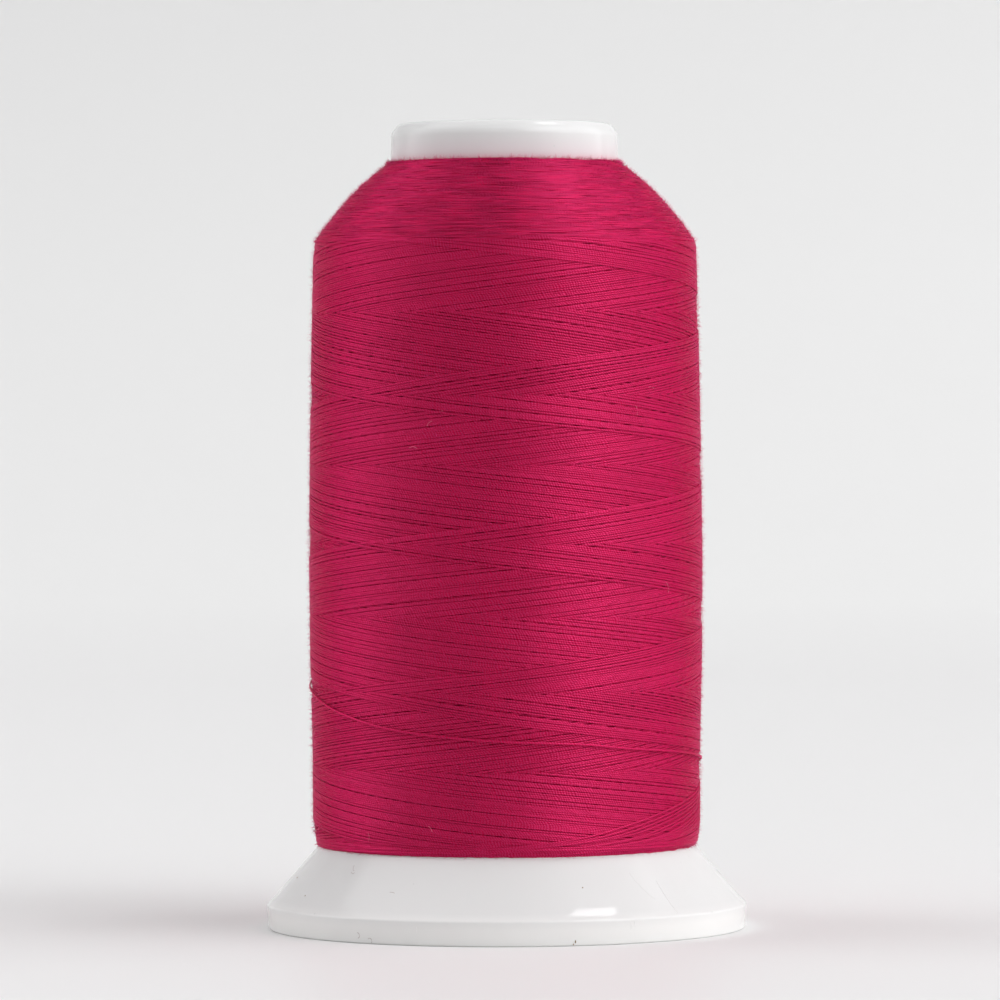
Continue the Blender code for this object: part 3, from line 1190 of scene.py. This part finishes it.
def sweep_paper(settings):
    """Matt paper with painted light, paler towards the right and just above the floor, that fades at its top
    so that the plastic mirrors no edge.
    """
    material, tree, shader, place = new_material("pale_sweep")
    axes = add_node(tree, "ShaderNodeSeparateXYZ", {"Vector": place}).outputs
    side = spread(tree, axes["X"], least=-SWEEP_REACH, most=SWEEP_REACH)
    # painted light by height, for the sweep's left and right sides
    left, right = [
        shades_by_height(tree, axes["Z"], shades, settings.floor_colour, SWEEP_SHADED_TO)
        for shades in (SWEEP_LEFT_PAINTED_LIGHT, SWEEP_RIGHT_PAINTED_LIGHT)
    ]
    looks = {
        "Base Color": mixed(tree, side, left, right),
        "Alpha": spread(tree, axes["Z"], 1.0, 0.0, SWEEP_FADE, SWEEP_TOP),
        "Roughness": 0.5,
        "Specular IOR Level": 0.3,
    }
    fill(tree, shader, looks)
    return material


def sweep_mesh():
    """A floor that curves up into a backdrop."""
    profile = [(SWEEP_FRONT, 0.0)]
    for step in range(13):
        angle = math.pi / 2.0 * step / 12
        depth = SWEEP_BEND + SWEEP_RADIUS * math.sin(angle)
        profile.append((depth, SWEEP_RADIUS * (1.0 - math.cos(angle))))
    profile.append((SWEEP_BEND + SWEEP_RADIUS, SWEEP_TOP))
    points = []
    for depth, height in profile:
        points.append((-SWEEP_WIDTH / 2.0, depth, height))
        points.append((SWEEP_WIDTH / 2.0, depth, height))
    faces = [(2 * row, 2 * row + 1, 2 * row + 3, 2 * row + 2) for row in range(len(profile) - 1)]
    mesh = bpy.data.meshes.new("sweep")
    mesh.from_pydata(points, [], faces)
    mesh.shade_smooth()
    return mesh


SOFTBOX_PLACE = (1.17, 0.053, 2.715)
SOFTBOX_SIZE = (0.713, 0.38)
SOFTBOX_TURN = math.radians(-50.5)
SOFTBOX_AIM = (0.0, 0.0, 0.05)

# The white room gives light from all round, more from some sides than from others.
ROOM_GLOWS = (
    # degrees round from the front, degrees up, narrowness, strength
    (55.0, 38.0, 12.0, 3.5),
    (80.0, 10.0, 8.0, 0.9),
    (130.0, 20.0, 8.0, 2.8),
    (-110.0, 15.0, 8.0, 1.5),
    (-90.0, 50.0, 8.0, 1.35),
    (0.0, 50.0, 8.0, 0.5),
    (180.0, 60.0, 8.0, 0.8),
)


def glowing_room(settings):
    """A world whose light comes in broad soft glows."""
    world = bpy.data.worlds.new("white_room")
    world.use_nodes = True
    tree = world.node_tree
    place = add_node(tree, "ShaderNodeTexCoord").outputs["Generated"]
    total = 0.0
    for round_degrees, up_degrees, narrowness, strength in ROOM_GLOWS:
        flat = math.cos(math.radians(up_degrees))
        side = math.radians(round_degrees)
        towards = (flat * math.sin(side), -flat * math.cos(side), math.sin(math.radians(up_degrees)))
        facing = add_node(tree, "ShaderNodeVectorMath", {0: place, 1: towards}, operation="DOT_PRODUCT")
        ahead = maths(tree, "MAXIMUM", facing.outputs["Value"], 0.0)
        glow = maths(tree, "POWER", ahead, narrowness)
        total = maths(tree, "MULTIPLY_ADD", glow, strength * settings.room_light, total)
    fill(tree, tree.nodes["Background"], {"Color": (1.0, 1.0, 1.0, 1.0), "Strength": total})
    return world


def add_softbox(strength):
    """A rectangular lamp that faces the cone, turned about its own beam."""
    data = bpy.data.lights.new("softbox", "AREA")
    data.shape = "RECTANGLE"
    data.size, data.size_y = SOFTBOX_SIZE
    data.energy = strength
    light = link(bpy.data.objects.new("softbox", data))
    aim = Vector(SOFTBOX_AIM) - Vector(SOFTBOX_PLACE)
    facing = aim.to_track_quat("-Z", "Y").to_matrix().to_4x4()
    light.matrix_world = Matrix.Translation(SOFTBOX_PLACE) @ facing @ Matrix.Rotation(SOFTBOX_TURN, 4, "Z")


class THREAD_OT_stage(bpy.types.Operator):
    """Sets up the camera, the pale sweep, the softbox and the room's light"""

    bl_idname = "thread.stage"
    bl_label = "Stage"

    def execute(self, context):
        scene = context.scene
        settings = scene.cone_studio
        data = bpy.data.cameras.new("camera")
        data.lens = settings.lens
        data.sensor_width = 36.0
        data.clip_end = 20.0
        camera = link(bpy.data.objects.new("camera", data))
        tilt = Matrix.Rotation(math.radians(90.0) - settings.camera_tilt, 4, "X")
        roll = Matrix.Rotation(settings.camera_roll, 4, "Z")
        camera.matrix_world = Matrix.Translation(settings.camera_place) @ tilt @ roll
        scene.camera = camera
        sweep = link(bpy.data.objects.new("sweep", sweep_mesh()))
        sweep.data.materials.append(sweep_paper(settings))
        add_softbox(settings.softbox_strength)
        scene.world = glowing_room(settings)
        scene.view_settings.view_transform = "Standard"
        return {"FINISHED"}


# ------------ interface


class THREAD_PT_panel(bpy.types.Panel):
    """Lists the pieces of the cone of thread"""

    bl_label = "Cone of thread"
    bl_idname = "THREAD_PT_panel"
    bl_space_type = "VIEW_3D"
    bl_region_type = "UI"
    bl_category = "Thread"

    def draw(self, context):
        layout = self.layout
        for group in (context.scene.cone_core, context.scene.cone_winding, context.scene.cone_studio):
            box = layout.box()
            for name in group.bl_rna.properties.keys():
                if name not in ("rna_type", "name"):
                    box.prop(group, name)
        for operator in OPERATORS:
            layout.operator(operator.bl_idname)


GROUPS = {
    "cone_core": CoreSettings,
    "cone_winding": WindingSettings,
    "cone_studio": StudioSettings,
}
OPERATORS = (
    THREAD_OT_stage,
    THREAD_OT_moulded_core,
    THREAD_OT_winding_bed,
    THREAD_OT_barrel_turns,
    THREAD_OT_edge_arcs,
    THREAD_OT_slack_turn,
    THREAD_OT_loose_fibres,
    THREAD_OT_lint,
)


def register():
    for name, group in GROUPS.items():
        bpy.utils.register_class(group)
        setattr(bpy.types.Scene, name, PointerProperty(type=group))
    for operator in OPERATORS:
        bpy.utils.register_class(operator)
    bpy.utils.register_class(THREAD_PT_panel)


def unregister():
    bpy.utils.unregister_class(THREAD_PT_panel)
    for operator in reversed(OPERATORS):
        bpy.utils.unregister_class(operator)
    for name, group in reversed(GROUPS.items()):
        delattr(bpy.types.Scene, name)
        bpy.utils.unregister_class(group)


def main():
    register()
    bpy.ops.thread.stage()
    bpy.ops.thread.moulded_core()
    bpy.ops.thread.winding_bed()
    bpy.ops.thread.barrel_turns()
    bpy.ops.thread.edge_arcs()
    bpy.ops.thread.slack_turn()
    bpy.ops.thread.loose_fibres()
    bpy.ops.thread.lint()


if __name__ == "__main__":
    main()
